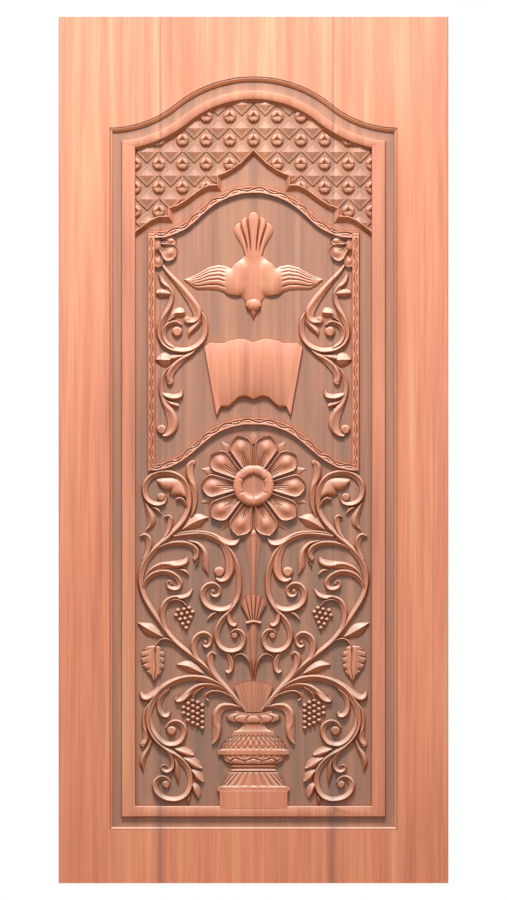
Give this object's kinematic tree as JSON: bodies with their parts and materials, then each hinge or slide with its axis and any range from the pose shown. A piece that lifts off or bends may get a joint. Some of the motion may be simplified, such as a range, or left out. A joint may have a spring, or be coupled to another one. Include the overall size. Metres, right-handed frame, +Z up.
{
  "type": "carved door leaf",
  "caption": "Wooden door leaf of edge-joined upright boards, with a sunk ogee-headed field carved with a lattice, a dove, an open book, a flower, vine scrolls and an urn.",
  "frame": {"origin": "middle of the leaf's bottom edge, at half its thickness", "axes": "+Z up the leaf, +Y from the carved front face to the plain back, +X to the right seen from the front"},
  "size_m": [0.914, 0.044, 2.032],
  "materials": {
    "board_wood": "clear satin finish, upright grain"
  },
  "bodies": {
    "root": {"left_board": "board_wood", "centre_board": "board_wood", "right_board": "board_wood"}
  },
  "joints": []
}
